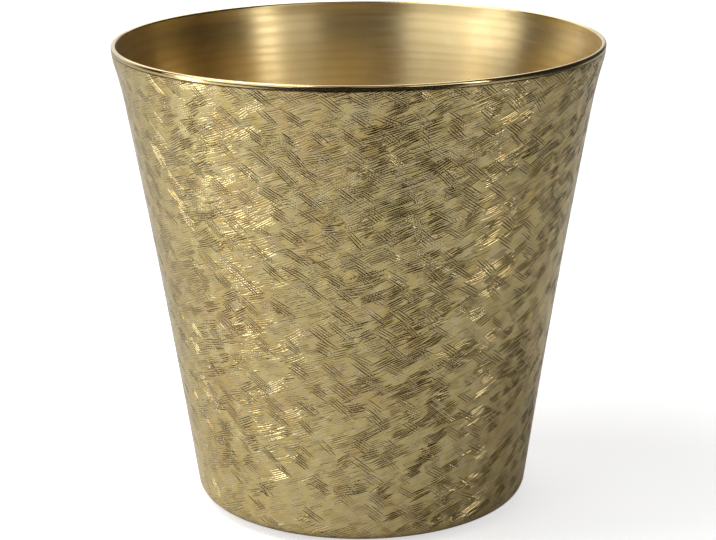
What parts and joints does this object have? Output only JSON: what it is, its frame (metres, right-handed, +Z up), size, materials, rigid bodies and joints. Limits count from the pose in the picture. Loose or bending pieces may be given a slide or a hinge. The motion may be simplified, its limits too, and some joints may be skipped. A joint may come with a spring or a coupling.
{
  "type": "cachepot",
  "caption": "Round metal cachepot with a slightly flared wall, rounded lip, raised base middle and felt pads under the standing ring; holds a nursery pot.",
  "frame": {"origin": "centre of the circle that the pot stands on, at the underside of the felt pads", "axes": "+Z up along the pot's axis of turning; -Y towards the viewer of the picture; +X to the viewer's right"},
  "size_m": [0.16, 0.16, 0.1549],
  "materials": {
    "plated_metal": "satin",
    "felt": "matte",
    "pad_glue": "satin"
  },
  "bodies": {
    "root": {"pot_shell": "plated_metal", "felt_pad_front_left": "felt", "felt_pad_front_right": "felt", "felt_pad_back_left": "felt", "felt_pad_back_right": "felt", "glue_disc_front_left": "pad_glue", "glue_disc_front_right": "pad_glue", "glue_disc_back_left": "pad_glue", "glue_disc_back_right": "pad_glue"}
  },
  "joints": []
}
